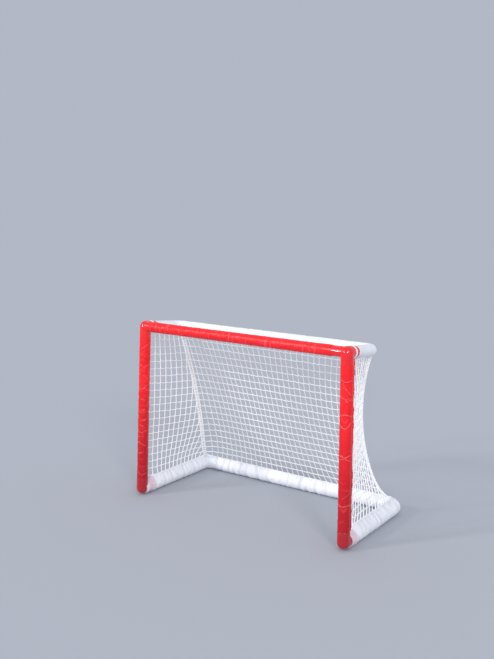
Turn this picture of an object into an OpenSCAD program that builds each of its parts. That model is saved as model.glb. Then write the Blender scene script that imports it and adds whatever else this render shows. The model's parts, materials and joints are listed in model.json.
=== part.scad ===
// Knock-down mini hockey goal: padded steel-tube frame with laced netting.
// X runs across the mouth, +Y towards the back, Z up from the floor.

/* [Frame] */
// Distance between the post axes at the crossbar
post_spacing = 724; // [600:1:900]
// How much further out each post stands at its foot
post_splay = 12; // [0:0.5:20]
// Height of the crossbar axis above the base rail axis
frame_height = 542; // [450:1:650]
// Distance from the post axes back to the base rear rail axis
base_depth = 362; // [260:1:420]
// Distance from the crossbar axis back to the top rear rail axis
top_depth = 168; // [140:1:220]
// Fall of the top frame from front to back, in degrees
top_slope = 5; // [0:0.1:8]

/* [Steel tube] */
// Outside diameter of every steel tube
tube_d = 25; // [22:0.5:28]
// Wall of the steel tube
tube_wall = 1.2; // [1:0.1:2]
// Bend radius of the rear corners, to the tube axis
bend_r = 26; // [24:1:60]
// Length of the straight legs on the bent rear tubes
rear_leg = 42; // [36:1:60]
// Length of the swaged spigot where two tubes join
spigot_l = 34; // [25:1:36]

/* [Padding and sleeves] */
// Finished diameter of a padded post
post_d = 36; // [34:0.5:44]
// Finished diameter of the padded crossbar
crossbar_d = 33; // [31:0.5:40]
// Finished diameter of the white base rails
rail_d = 44; // [40:0.5:48]
// Finished diameter of the white top rails
top_rail_d = 35; // [35:0.5:40]
// Thickness of the fabric sleeves
sleeve_t = 1; // [0.6:0.1:1.4]
// How far the sewn seam flange stands out of a post sleeve
post_flange = 15; // [6:1:16]
// Which way a post flange points, in degrees from straight back, outwards
post_flange_turn = 35; // [0:1:60]
// How far the seam flange stands out of the base sleeves
rail_flange = 9; // [4:1:12]
// How far the hem stands out of the crossbar and the top sleeves
top_flange = 4; // [3:1:10]
// Thickness of the seam flanges
flange_t = 3; // [2:0.5:4]

/* [Corners and feet] */
// Outside diameter of the moulded sockets
socket_d = 32; // [31:0.5:33]
// Outside diameter of the corner sockets along the crossbar
bar_socket_d = 28; // [27.5:0.5:29]
// Thickness of the vinyl covers over the corners and feet
cover_t = 2; // [1.5:0.5:2.5]
// Thickness of the boots round the feet
boot_t = 3; // [1.5:0.5:4]
// Reach of the corner covers along the crossbar, on average
cover_bar_leg = 34; // [30:1:50]
// How far the crossbar sleeve sits towards the left
sleeve_shift = 11; // [0:1:12]
// Reach of the corner cover down the post
cover_post_leg = 34; // [26:1:50]
// Reach of the corner cover towards the back
cover_back_leg = 28; // [24:1:32]
// Reach of the foot boot up the post
boot_up_leg = 24; // [22:1:40]
// Reach of the foot boot along the base rail
boot_back_leg = 20; // [18:1:44]
// How deep a tube goes into its socket
socket_grip = 30; // [20:1:34]

/* [Netting] */
// Width of one mesh
mesh_w = 20.5; // [16:0.5:40]
// Height of one mesh
mesh_h = 24; // [16:0.5:40]
// Draw one twine in this many
twine_step = 2; // [2:1:4]
// Thickness of the twine
twine_d = 2.6; // [2:0.1:4]
// Width of the sewn border round each net
border_w = 5; // [4:0.5:8]
// How far the corner seams are drawn in sideways, half way up
pull_in = 40; // [0:1:50]
// How far the corner seams are drawn forwards, half way up
pull_forward = 23; // [0:1:30]
// How far the middle of the back is drawn forwards, half way up
back_pull = 14; // [0:1:30]
// Diameter of the laced cord down each back corner
lacing_d = 7; // [5:0.5:9]

/* [Snap buttons] */
// Diameter of a snap button
button_d = 7; // [6:0.5:8]
// Gap round the button in its holes
button_gap = 0.08; // [0.05:0.01:0.1]
// How far a button stands out of its socket
button_proud = 0.2; // [0.1:0.1:0.3]
// Thickness of the spring strip
strip_t = 0.8; // [0.6:0.1:1]
// Width of the spring strip
strip_w = 6; // [5:0.5:6]

/* [Hidden] */
$fn = 48;

red = "#d8202c";
dark_red = "#b4101e";
white = "#f2f4f8";
steel = "#9aa0a6";
foam = "#4a4d52";

tube_r = tube_d / 2;
bore_r = tube_r - tube_wall;
fit_gap = 0.05;
post_r = post_d / 2;
crossbar_r = crossbar_d / 2;
rail_r = rail_d / 2;
top_rail_r = top_rail_d / 2;
socket_r = socket_d / 2;
bar_socket_r = bar_socket_d / 2;
cover_r = socket_r + cover_t;
boot_r = socket_r + boot_t;

post_x = post_spacing / 2;
base_x = post_x + post_splay;
lean = atan(post_splay / frame_height);
post_length = norm([post_splay, frame_height]);
overall_depth = boot_r + base_depth + rail_r;
front_y = -overall_depth / 2 + boot_r;
base_z = rail_r;
top_z = base_z + frame_height;
base_rear_y = front_y + base_depth;
top_rear_y = front_y + top_depth * cos(top_slope);
top_rear_z = top_z - top_depth * sin(top_slope);

// Socket lengths, measured from the corner point along each axis
bar_socket = 70;
post_socket = 62;
back_socket = 68;
foot_socket = 62;

// Where the white side sleeves start behind the corners
tie_w = 8;
ring_w = 14;
top_sleeve_start = cover_back_leg + tie_w + ring_w;

// Ends of the side rails, measured back from the front axis
base_side_end = base_depth - bend_r - rear_leg;
top_side_end = top_depth - bend_r - spigot_l - 6;
top_leg = spigot_l + 6;

// Where the base sleeves' flanges point, in degrees from straight up: inwards at the sides, forwards at the rear
side_flange_turn = 10;
rear_flange_turn = 23;

// Netting limits
net_reach = rail_r + rail_flange + 0.3;
side_low_z = base_z + net_reach * cos(side_flange_turn);
side_low_x = base_x - net_reach * sin(side_flange_turn);
net_top_drop = top_rail_r + top_flange;
lacing_gap = lacing_d / 2 + 0.9;
back_low = [base_rear_y - net_reach * sin(rear_flange_turn), base_z + net_reach * cos(rear_flange_turn) + 0.6];
back_high = [top_rear_y - net_top_drop * sin(top_slope), top_rear_z - net_top_drop * cos(top_slope) - 0.2];
seam_low = [base_x - 18, back_low[0] - 30];
seam_high = [post_x - 12, back_high[0] - 5];
drawn_w = mesh_w * twine_step;
net_rows = round((back_high[1] - side_low_z) / mesh_h / twine_step);
back_columns = round(2 * (post_x - 12) / drawn_w);

function lerp(a, b, t) = a + (b - a) * t;
function bulge(t) = 4 * t * (1 - t);

// Half width, depth and height of the laced corner seam, t from 0 at the base to 1 at the top
function seam_x(t) = lerp(seam_low[0], seam_high[0], t) - pull_in * bulge(t);
function seam_y(t) = lerp(seam_low[1], seam_high[1], t) - pull_forward * bulge(t);
function seam_z(t) = lerp(back_low[1], back_high[1], t);
function seam_t(z) = (z - back_low[1]) / (back_high[1] - back_low[1]);
function back_y(t) = lerp(back_low[0], back_high[0], t) - back_pull * bulge(t);

// ---- shared shapes ----

module along_x() { rotate([0, 90, 0]) children(); }
module along_y() { rotate([-90, 0, 0]) children(); }
module both_sides(side) { if (side < 0) mirror([1, 0, 0]) children(); else children(); }
module top_frame() { translate([0, front_y, top_z]) rotate([-top_slope, 0, 0]) children(); }
module base_frame() { translate([0, front_y, base_z]) children(); }

// A tube along Z with its low end at z = 0
module pipe(length, r_out, r_in) {
    difference() {
        cylinder(h = length, r = r_out);
        translate([0, 0, -1]) cylinder(h = length + 2, r = r_in);
    }
}

// A tube whose far end is swaged down to slide into the next one
module spigot_pipe(length) {
    difference() {
        union() {
            cylinder(h = length - spigot_l, r = tube_r);
            translate([0, 0, length - spigot_l - 1]) cylinder(h = spigot_l + 1, r = bore_r - fit_gap);
        }
        translate([0, 0, -1]) cylinder(h = length + 2, r = bore_r - tube_wall);
        translate([0, 0, -1]) cylinder(h = length - spigot_l - 3, r = bore_r);
    }
}

// The outside of a U in the XY plane: the rear bar lies on y = depth
module u_solid(half_w, depth, leg, r) {
    straight = half_w - bend_r;
    translate([-straight, depth, 0]) along_x() cylinder(h = 2 * straight, r = r);
    for (side = [-1, 1]) both_sides(side) {
        translate([straight, depth - bend_r, 0]) rotate_extrude(angle = 90) translate([bend_r, 0]) circle(r = r);
        translate([half_w, depth - bend_r - leg, 0]) along_y() cylinder(h = leg, r = r);
    }
}

module u_pipe(half_w, depth, leg, r_out, r_in) {
    difference() {
        u_solid(half_w, depth, leg, r_out);
        u_solid(half_w, depth, leg + 1, r_in);
    }
}

// A flat seam flange standing out along +X, running up Z
module flange(length, r, reach) {
    translate([r - sleeve_t / 2, -flange_t / 2, 0]) cube([reach + sleeve_t / 2, flange_t, length]);
}

// ---- moulded sockets and their covers ----

module corner_shape(r, bar_r, bar_leg, post_leg, back_leg) {
    sphere(r = r + 0.2);
    rotate([0, -90, 0]) cylinder(h = bar_leg, r = bar_r);
    rotate([180, -lean, 0]) cylinder(h = post_leg, r = r);
    rotate([-top_slope, 0, 0]) along_y() cylinder(h = back_leg, r = r);
}

module corner_fitting() {
    difference() {
        corner_shape(socket_r, bar_socket_r, bar_socket, post_socket, back_socket);
        translate([-bar_socket - 1, 0, 0]) along_x() cylinder(h = socket_grip + 1, r = tube_r + fit_gap);
        rotate([0, -lean, 0]) translate([0, 0, -post_socket - 1])
            cylinder(h = socket_grip + 1, r = tube_r + fit_gap);
        rotate([-top_slope, 0, 0]) {
            translate([0, back_socket - socket_grip, 0]) along_y()
                cylinder(h = socket_grip + 1, r = tube_r + fit_gap);
            translate([-socket_r - 2, back_socket - socket_grip / 2, 0]) along_x()
                cylinder(h = socket_r + 2, r = button_d / 2 + button_gap);
        }
    }
}

module corner_cover(bar_leg) {
    difference() {
        corner_shape(cover_r, crossbar_r - sleeve_t, bar_leg, cover_post_leg, cover_back_leg);
        corner_shape(socket_r, bar_socket_r, bar_leg + 1, cover_post_leg + 1, cover_back_leg + 1);
    }
}

module foot_shape(r, up_leg, back_leg) {
    sphere(r = r);
    rotate([0, -lean, 0]) cylinder(h = up_leg, r = r);
    along_y() cylinder(h = back_leg, r = r);
}

module foot_fitting() {
    difference() {
        foot_shape(socket_r, foot_socket, foot_socket);
        rotate([0, -lean, 0]) translate([0, 0, foot_socket - socket_grip])
            cylinder(h = socket_grip + 1, r = tube_r + fit_gap);
        translate([0, foot_socket - socket_grip, 0]) along_y() cylinder(h = socket_grip + 1, r = tube_r + fit_gap);
        translate([-socket_r - 2, foot_socket - socket_grip / 2, 0]) along_x()
            cylinder(h = socket_r + 2, r = button_d / 2 + button_gap);
    }
}

module foot_boot() {
    difference() {
        foot_shape(boot_r, boot_up_leg, boot_back_leg);
        foot_shape(socket_r, boot_up_leg + 1, boot_back_leg + 1);
    }
}

module at_corner(side) { both_sides(side) translate([post_x, front_y, top_z]) children(); }
module at_foot(side) { both_sides(side) translate([base_x, front_y, base_z]) children(); }
module up_post(side) { at_foot(side) rotate([0, -lean, 0]) children(); }

// ---- steel tubes ----

bar_end = post_x - bar_socket + socket_grip;
post_low = foot_socket - socket_grip;
post_high = post_length - post_socket + socket_grip;

module crossbar_tube() {
    color(steel) translate([-bar_end, front_y, top_z]) along_x() pipe(2 * bar_end, tube_r, bore_r);
}

module post_tube(side) {
    color(steel) up_post(side) translate([0, 0, post_low]) pipe(post_high - post_low, tube_r, bore_r);
}

module side_tube(start, end) {
    difference() {
        translate([0, start, 0]) along_y() spigot_pipe(end - start + spigot_l);
        translate([-tube_r - 1, start + socket_grip / 2, 0]) along_x() cylinder(h = tube_r, r = button_d / 2 + button_gap);
    }
}

module base_side_tube(side) {
    color(steel) base_frame() both_sides(side) translate([base_x, 0, 0])
        side_tube(foot_socket - socket_grip, base_side_end);
}

module top_side_tube(side) {
    color(steel) top_frame() both_sides(side) translate([post_x, 0, 0])
        side_tube(back_socket - socket_grip, top_side_end);
}

module base_rear_tube() { color(steel) base_frame() u_pipe(base_x, base_depth, rear_leg, tube_r, bore_r); }
module top_rear_tube() { color(steel) top_frame() u_pipe(post_x, top_depth, top_leg, tube_r, bore_r); }

// ---- foam pads ----

// A pad along Z over a tube, counterbored at its ends over the sockets
module pad(start, end, r, low_socket, high_socket, seat_r) {
    translate([0, 0, start]) difference() {
        cylinder(h = end - start, r = r);
        translate([0, 0, -1]) cylinder(h = end - start + 2, r = tube_r);
        if (low_socket > start) translate([0, 0, -1]) cylinder(h = low_socket - start + 1, r = seat_r);
        if (high_socket < end) translate([0, 0, high_socket - start]) cylinder(h = end - high_socket + 1, r = seat_r);
    }
}

module crossbar_pad() {
    seat = post_x - bar_socket;
    color(foam) translate([0, front_y, top_z]) along_x() pad(
        -post_x + bar_leg(-1), post_x - bar_leg(1), crossbar_r - sleeve_t, -seat, seat, bar_socket_r + fit_gap);
}

module post_pad(side) {
    color(foam) up_post(side) pad(boot_up_leg, post_length - cover_post_leg, post_r - sleeve_t,
        foot_socket, post_length - post_socket, socket_r + fit_gap);
}

module base_side_pad(side) {
    color(foam) base_frame() both_sides(side) translate([base_x, 0, 0]) along_y()
        pad(boot_back_leg, base_side_end, rail_r - sleeve_t,
            foot_socket, base_side_end, socket_r + button_proud + 0.4);
}

module top_side_pad(side) {
    color(foam) top_frame() both_sides(side) translate([post_x, 0, 0]) along_y()
        pad(back_socket, top_side_end, top_rail_r - sleeve_t, back_socket, top_side_end, socket_r);
}

module base_rear_pad() { color(foam) base_frame() u_pipe(base_x, base_depth, rear_leg, rail_r - sleeve_t, tube_r); }
module top_rear_pad() { color(foam) top_frame() u_pipe(post_x, top_depth, top_leg, top_rail_r - sleeve_t, tube_r); }

// ---- fabric sleeves ----

// The crossbar sleeve sits off centre, so one corner cover shows more of its leg
function bar_leg(side) = cover_bar_leg + side * sleeve_shift;

// A base sleeve drawn in to its flange, as a solid wedge whose sides run into the round part
module wedge(length) {
    tip = rail_r + rail_flange;
    root = rail_r - 0.4;
    turn = acos(root / tip);
    linear_extrude(length) difference() {
        polygon([[root * cos(turn), root * sin(turn)], [tip, flange_t / 2], [tip, -flange_t / 2],
            [root * cos(turn), -root * sin(turn)]]);
        circle(r = rail_r - 0.6 * sleeve_t);
    }
}

module crossbar_sleeve() {
    left = -post_x + bar_leg(-1);
    right = post_x - bar_leg(1);
    color(red) translate([left, front_y, top_z]) along_x() {
        pipe(right - left, crossbar_r, crossbar_r - sleeve_t);
        rotate([0, 0, 90 - top_slope]) flange(right - left, crossbar_r, top_flange);
    }
}

module post_sleeve(side) {
    length = post_length - cover_post_leg - boot_up_leg;
    color(red) up_post(side) translate([0, 0, boot_up_leg]) {
        pipe(length, post_r, post_r - sleeve_t);
        rotate([0, 0, 90 - post_flange_turn]) flange(length, post_r, post_flange);
    }
}

module base_side_sleeve(side) {
    length = base_side_end - boot_back_leg;
    color(white) base_frame() both_sides(side) translate([base_x, boot_back_leg, 0]) along_y() {
        pipe(length, rail_r, rail_r - sleeve_t);
        rotate([0, 0, -90 - side_flange_turn]) wedge(length);
    }
}

module top_side_sleeve(side) {
    length = top_side_end - top_sleeve_start;
    color(white) top_frame() both_sides(side) translate([post_x, top_sleeve_start, 0]) along_y() {
        pipe(length, top_rail_r, top_rail_r - sleeve_t);
        for (angle = [90, 180]) rotate([0, 0, angle]) flange(length, top_rail_r, top_flange);
    }
}

module base_rear_sleeve() {
    straight = base_x - bend_r;
    color(white) base_frame() {
        u_pipe(base_x, base_depth, rear_leg, rail_r, rail_r - sleeve_t);
        translate([-straight, base_depth, 0]) along_x() rotate([0, 0, -180 + rear_flange_turn]) wedge(2 * straight);
        for (side = [-1, 1]) both_sides(side) translate([base_x, base_side_end, 0]) along_y()
            rotate([0, 0, -90 - side_flange_turn]) wedge(rear_leg - 4);
    }
}

module top_rear_sleeve() {
    straight = post_x - bend_r;
    color(white) top_frame() {
        u_pipe(post_x, top_depth, top_leg, top_rail_r, top_rail_r - sleeve_t);
        translate([-straight, top_depth, 0]) along_x() for (angle = [0, -90])
            rotate([0, 0, angle]) flange(2 * straight, top_rail_r, top_flange);
    }
}

// ---- rings and ties behind the top corners ----

module corner_tie(side) {
    turns = 3;
    cord_r = 1.1;
    color(white) top_frame() both_sides(side) translate([post_x, cover_back_leg, 0]) for (turn = [1 : turns])
        translate([0, turn * tie_w / (turns + 1), 0]) along_y() rotate_extrude()
            translate([socket_r + cord_r, 0]) circle(r = cord_r, $fn = 16);
}

module corner_ring(side) {
    color(red) top_frame() both_sides(side) translate([post_x, cover_back_leg + tie_w, 0]) along_y()
        pipe(ring_w, socket_r + 1, socket_r);
}

// ---- netting ----

// Grid lines from 0 to 1: the two edges of the border, then the two edges of each twine
function grid_lines(count, border, half_twine) = [
    0, border,
    for (i = [1 : count - 1]) each [i / count - half_twine, i / count + half_twine],
    1 - border, 1
];

// An open net on a curved surface. surf(u, v) gives a point for u and v from 0 to 1, and every
// patch that lies between two twines both ways is left open. The net is thickened by the vector t.
module net(columns, rows, width, height, surf, t) {
    us = grid_lines(columns, border_w / width, twine_d / 2 / width);
    vs = grid_lines(rows, border_w / height, twine_d / 2 / height);
    nu = len(us);
    nv = len(vs);
    function at(i, j, layer) = (layer * nv + j) * nu + i;
    function open(i, j) = i < 0 || j < 0 || i > nu - 2 || j > nv - 2 || (i % 2 == 1 && j % 2 == 1);
    // The wall between a solid patch and an open one, from point a to point b
    function wall(a, b) = [at(a[0], a[1], 0), at(b[0], b[1], 0), at(b[0], b[1], 1), at(a[0], a[1], 1)];
    solid = [for (j = [0 : nv - 2]) for (i = [0 : nu - 2]) if (!open(i, j)) [i, j]];
    polyhedron(
        points = [for (layer = [0, 1]) for (v = vs) for (u = us) surf(u, v) + (layer - 0.5) * t],
        faces = [for (p = solid) let (i = p[0], j = p[1]) each concat(
            [[at(i, j, 0), at(i + 1, j, 0), at(i + 1, j + 1, 0)], [at(i, j, 0), at(i + 1, j + 1, 0), at(i, j + 1, 0)]],
            [[at(i, j, 1), at(i + 1, j + 1, 1), at(i + 1, j, 1)], [at(i, j, 1), at(i, j + 1, 1), at(i + 1, j + 1, 1)]],
            open(i, j - 1) ? [wall([i + 1, j], [i, j])] : [],
            open(i + 1, j) ? [wall([i + 1, j + 1], [i + 1, j])] : [],
            open(i, j + 1) ? [wall([i, j + 1], [i + 1, j + 1])] : [],
            open(i - 1, j) ? [wall([i, j], [i, j + 1])] : [])]);
}

module back_net() {
    function edge_x(v) = seam_x(v) - lacing_gap;
    color(white) net(back_columns, net_rows, 2 * post_x, back_high[1] - back_low[1],
        function(u, v) [
            lerp(-edge_x(v), edge_x(v), u),
            back_y(v) - (back_y(v) - seam_y(v)) * pow(abs(2 * u - 1), 6 + 18 * pow(1 - v, 3)),
            seam_z(v)],
        [0, twine_d, 0]);
}

// The front edge of a side net follows the tip of the post flange, and its rear edge the laced seam
flange_tip = (post_r + post_flange + 1.6) * [sin(post_flange_turn), cos(post_flange_turn)];
side_front = flange_tip[1];

function side_top(y) = top_z - y * tan(top_slope) - net_top_drop / cos(top_slope) - 0.2;
function side_z(u, v) = lerp(side_low_z, lerp(side_top(side_front), seam_z(1), u), v);
function side_seam(v) = seam_t(side_z(1, v));
function side_x(u, v) = lerp(lerp(base_x, post_x, v) + flange_tip[0], seam_x(side_seam(v)), u);
function side_y(u, v) = lerp(side_front, seam_y(side_seam(v)) - front_y - lacing_gap, u);

module side_net(side) {
    mean_depth = (seam_y(0) + seam_y(1)) / 2 - front_y - side_front;
    color(white) both_sides(side) net(round(mean_depth / drawn_w), net_rows, mean_depth, back_high[1] - side_low_z,
        function(u, v) [
            side_x(u, v) + (side_low_x - side_x(u, v)) * min(1, 8 * u, 8 * (1 - u)) * pow(1 - v, 8),
            front_y + side_y(u, v),
            side_z(u, v)],
        [-twine_d, 0, 0]);
}

module top_net() {
    half = post_x - top_rail_r - top_flange - 0.2;
    low = crossbar_r + top_flange + 0.2;
    high = top_depth - top_rail_r - top_flange - 0.2;
    color(white) top_frame() net(round(2 * half / drawn_w), round((high - low) / drawn_w), 2 * half, high - low,
        function(u, v) [lerp(-half, half, u), lerp(low, high, v), 0],
        [0, 0, twine_d]);
}

// ---- laced corner cord ----

lacing_rings = 24;
lacing_sides = 8;

module lacing(side) {
    path = [for (k = [0 : lacing_rings]) let (t = lerp(0.012, 0.985, k / lacing_rings))
        [seam_x(t), seam_y(t), seam_z(t)]];
    ring = [for (k = [0 : lacing_sides - 1]) let (a = 360 * k / lacing_sides)
        lacing_d / 2 * [cos(a), sin(a), 0]];
    points = [for (p = path) for (q = ring) p + q];
    function at(r, k) = r * lacing_sides + k % lacing_sides;
    color(white) both_sides(side) polyhedron(points = points, faces = concat(
        [[for (k = [0 : lacing_sides - 1]) k]],
        [for (r = [0 : lacing_rings - 1]) for (k = [0 : lacing_sides - 1]) each [
            [at(r, k), at(r + 1, k), at(r + 1, k + 1)],
            [at(r, k), at(r + 1, k + 1), at(r, k + 1)]]],
        [[for (k = [lacing_sides - 1 : -1 : 0]) at(lacing_rings, k)]]));
}

// ---- sprung snap buttons, drawn at the origin and pointing along -X ----

strip_out = sqrt(pow(bore_r - fit_gap, 2) - pow(strip_w / 2, 2));
strip_l = 24;
strip_gap = 0.5;

module snap_button() {
    tip = socket_r + button_proud;
    color(steel) {
        translate([-tip + 1, 0, 0]) along_x() cylinder(h = tip - 1 - strip_out + strip_t / 2, r = button_d / 2);
        translate([-tip, 0, 0]) along_x() cylinder(h = 1, r1 = button_d / 2 - 2, r2 = button_d / 2);
        translate([-strip_out, -button_d / 2, -strip_w / 2]) cube([strip_t, strip_l + button_d / 2, strip_w]);
    }
}

module snap_spring() {
    curl_y = strip_l + strip_gap;
    color(steel) {
        translate([strip_out - strip_t, -button_d / 2, -strip_w / 2])
            cube([strip_t, curl_y + button_d / 2, strip_w]);
        translate([0, curl_y, -strip_w / 2]) rotate_extrude(angle = 180)
            translate([strip_out - strip_t, 0]) square([strip_t, strip_w]);
    }
}

module at_base_button(side) {
    base_frame() both_sides(side) translate([base_x, foot_socket - socket_grip / 2, 0]) children();
}

module at_top_button(side) {
    top_frame() both_sides(side) translate([post_x, back_socket - socket_grip / 2, 0]) children();
}

module snap_springs() {
    for (side = [-1, 1]) {
        at_base_button(side) snap_spring();
        at_top_button(side) snap_spring();
    }
}

crossbar_tube();
post_tube(-1);  // left_post_tube
post_tube(1);  // right_post_tube
base_side_tube(-1);  // base_left_tube
base_side_tube(1);  // base_right_tube
base_rear_tube();
top_side_tube(-1);  // top_left_tube
top_side_tube(1);  // top_right_tube
top_rear_tube();
color(dark_red) at_corner(-1) corner_fitting();  // left_corner_fitting
color(dark_red) at_corner(1) corner_fitting();  // right_corner_fitting
color(dark_red) at_foot(-1) foot_fitting();  // left_foot_fitting
color(dark_red) at_foot(1) foot_fitting();  // right_foot_fitting
crossbar_pad();
post_pad(-1);  // left_post_pad
post_pad(1);  // right_post_pad
base_side_pad(-1);  // base_left_pad
base_side_pad(1);  // base_right_pad
base_rear_pad();
top_side_pad(-1);  // top_left_pad
top_side_pad(1);  // top_right_pad
top_rear_pad();
crossbar_sleeve();
post_sleeve(-1);  // left_post_sleeve
post_sleeve(1);  // right_post_sleeve
base_side_sleeve(-1);  // base_left_sleeve
base_side_sleeve(1);  // base_right_sleeve
base_rear_sleeve();
top_side_sleeve(-1);  // top_left_sleeve
top_side_sleeve(1);  // top_right_sleeve
top_rear_sleeve();
color(red) at_corner(-1) corner_cover(bar_leg(-1));  // left_corner_cover
color(red) at_corner(1) corner_cover(bar_leg(1));  // right_corner_cover
color(red) at_foot(-1) foot_boot();  // left_foot_boot
color(red) at_foot(1) foot_boot();  // right_foot_boot
corner_ring(-1);  // left_corner_ring
corner_ring(1);  // right_corner_ring
corner_tie(-1);  // left_corner_tie
corner_tie(1);  // right_corner_tie
back_net();
side_net(-1);  // left_net
side_net(1);  // right_net
top_net();
lacing(-1);  // left_lacing
lacing(1);  // right_lacing
snap_springs();
at_base_button(-1) snap_button();  // base_left_button
at_base_button(1) snap_button();  // base_right_button
at_top_button(-1) snap_button();  // top_left_button
at_top_button(1) snap_button();  // top_right_button
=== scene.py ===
import json
import math
import random

import bpy
from mathutils import Matrix, Vector, noise


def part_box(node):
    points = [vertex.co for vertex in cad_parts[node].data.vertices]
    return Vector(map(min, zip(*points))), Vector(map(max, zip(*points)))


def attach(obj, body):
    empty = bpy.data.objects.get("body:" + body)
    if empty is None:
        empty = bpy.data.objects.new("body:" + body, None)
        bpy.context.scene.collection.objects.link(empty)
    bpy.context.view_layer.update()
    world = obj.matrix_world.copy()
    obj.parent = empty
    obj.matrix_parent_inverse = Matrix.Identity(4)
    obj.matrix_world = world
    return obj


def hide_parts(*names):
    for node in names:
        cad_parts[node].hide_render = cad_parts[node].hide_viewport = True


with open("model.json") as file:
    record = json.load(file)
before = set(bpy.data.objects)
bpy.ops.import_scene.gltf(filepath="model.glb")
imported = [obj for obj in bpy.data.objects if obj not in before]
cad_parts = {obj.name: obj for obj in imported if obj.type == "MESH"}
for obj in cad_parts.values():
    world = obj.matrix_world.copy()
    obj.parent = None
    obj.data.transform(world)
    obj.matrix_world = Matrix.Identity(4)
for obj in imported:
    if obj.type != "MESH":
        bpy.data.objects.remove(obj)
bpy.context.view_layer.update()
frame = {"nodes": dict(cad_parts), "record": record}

MM = 0.001
ROOT = "frame"

# ---------------------------------------------------------------- sizes from the frame


def centre(node):
    low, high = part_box(node)
    return [(low[k] + high[k]) / 2 for k in range(3)]


def high(node):
    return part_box(node)[1]


def low(node):
    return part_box(node)[0]


FRONT_Y = centre("crossbar_tube")[1]
TOP_Z = centre("crossbar_tube")[2]
TUBE_R = high("crossbar_tube")[2] - TOP_Z
BASE_Z = centre("base_rear_tube")[2]
RAIL_R = BASE_Z
BASE_X = centre("base_right_tube")[0]
BASE_DEPTH = high("base_rear_tube")[1] - TUBE_R - FRONT_Y
BAR_R = high("crossbar_sleeve")[2] - TOP_Z
BAR_LEFT = low("crossbar_sleeve")[0]
BAR_RIGHT = high("crossbar_sleeve")[0]
BOOT_R = high("right_foot_boot")[0] - BASE_X

# Sizes that no box of a node gives by itself. They follow the part's own list of sizes, apart from the
# turn of the flange, the back leg of the cover, the twine and the course of the laced corners.
POST_SPLAY = 12 * MM
POST_X = BASE_X - POST_SPLAY
POST_R = 18 * MM
COVER_R = 18 * MM
POST_FLANGE = 15 * MM
FLANGE_TURN = math.radians(12)
BOOT_UP_LEG = 24 * MM
BOOT_BACK_LEG = 20 * MM
COVER_POST_LEG = 34 * MM
COVER_BACK_LEG = 22 * MM
TIE_W = 8 * MM
RING_W = 14 * MM
TOP_SLOPE = math.radians(5)
TOP_DEPTH = 168 * MM
TOP_RAIL_R = 17.5 * MM
BEND_R = 26 * MM
REAR_LEG = 42 * MM
SPIGOT_LEG = 40 * MM
SOCKET_R = 16 * MM
BAR_SOCKET_R = 14 * MM
BAR_SOCKET = 70 * MM
POST_SOCKET = 62 * MM
BACK_SOCKET = 68 * MM
FOOT_SOCKET = 62 * MM
RAIL_FLANGE = 9 * MM
SIDE_TURN = math.radians(10)
REAR_TURN = math.radians(23)
FLANGE_T = 3 * MM
SLEEVE_T = 1 * MM

MESH_W = 20.5 * MM
MESH_H = 24 * MM
TWINE_R = 1.5 * MM
PULL_IN = 37 * MM
PULL_FORWARD = 22 * MM
BACK_PULL = 14 * MM
# How far a junction strays. In millimetres: how far a twine steps aside at it, and half its length.
JITTER = 0.7 * MM
JOG_MM = 0.5
JUNCTION_MM = 2.2
# The lacing stops just short of both ends of the corner, and its ropes lie this far from the seam line
LACE_ENDS = (0.004, 0.996)
ROPE_OUT = 4.6 * MM
# Round the socket behind a top corner: the wound cord and the ring, then the cord's own radius
RING_R = 17.2 * MM
WOUND_CORD_R = 1.15 * MM
# Voxel size and rounds of smoothing for the moulded covers and boots
SKIN_VOXEL = 1.5 * MM
SKIN_ROUNDS = 6

POST_LEAN = math.atan2(POST_SPLAY, TOP_Z - BASE_Z)
POST_LENGTH = math.hypot(POST_SPLAY, TOP_Z - BASE_Z)
TOP_REAR_Y = FRONT_Y + TOP_DEPTH * math.cos(TOP_SLOPE)
TOP_REAR_Z = TOP_Z - TOP_DEPTH * math.sin(TOP_SLOPE)
NET_REACH = RAIL_R + RAIL_FLANGE
NET_DROP = TOP_RAIL_R + 3 * MM
SIDE_LOW = (BASE_X - NET_REACH * math.sin(SIDE_TURN), BASE_Z + NET_REACH * math.cos(SIDE_TURN))
BACK_LOW = (FRONT_Y + BASE_DEPTH - NET_REACH * math.sin(REAR_TURN),
            BASE_Z + NET_REACH * math.cos(REAR_TURN))
BACK_HIGH = (TOP_REAR_Y - NET_DROP * math.sin(TOP_SLOPE), TOP_REAR_Z - NET_DROP * math.cos(TOP_SLOPE))
SEAM_LOW = (BASE_X - 22.5 * MM, BACK_LOW[0] - 41 * MM)
SEAM_HIGH = (POST_X - 9.5 * MM, BACK_HIGH[0] + 8 * MM)
FLANGE_TIP = ((POST_R + POST_FLANGE) * math.sin(FLANGE_TURN),
              (POST_R + POST_FLANGE) * math.cos(FLANGE_TURN))
SIDE_FRONT = FLANGE_TIP[1]


def lerp(a, b, t):
    return a + (b - a) * t


def bulge(t):
    """A bow from 0 at both ends to 1 half way."""
    return 4 * t * (1 - t)


def smooth(t):
    """A soft step from 0 to 1."""
    t = min(max(t, 0.0), 1.0)
    return t * t * (3 - 2 * t)


def wrapped(angle):
    """The same angle between minus and plus half a turn."""
    return (angle + math.pi) % (2 * math.pi) - math.pi


def word_for(side):
    return "right" if side > 0 else "left"


def seam(t):
    """The laced corner on the right: t runs from 0 at the base to 1 at the top rail."""
    x = lerp(SEAM_LOW[0], SEAM_HIGH[0], t) - PULL_IN * bulge(t)
    y = lerp(SEAM_LOW[1], SEAM_HIGH[1], t) - PULL_FORWARD * bulge(t)
    # The last of it runs out to the corner of the base rail
    out = (1 - t) ** 16
    return Vector((x + 13 * MM * out, y + 30 * MM * out, lerp(BACK_LOW[1], BACK_HIGH[1], t)))


def seam_at(z):
    return seam(min(max((z - BACK_LOW[1]) / (BACK_HIGH[1] - BACK_LOW[1]), 0), 1))


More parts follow.
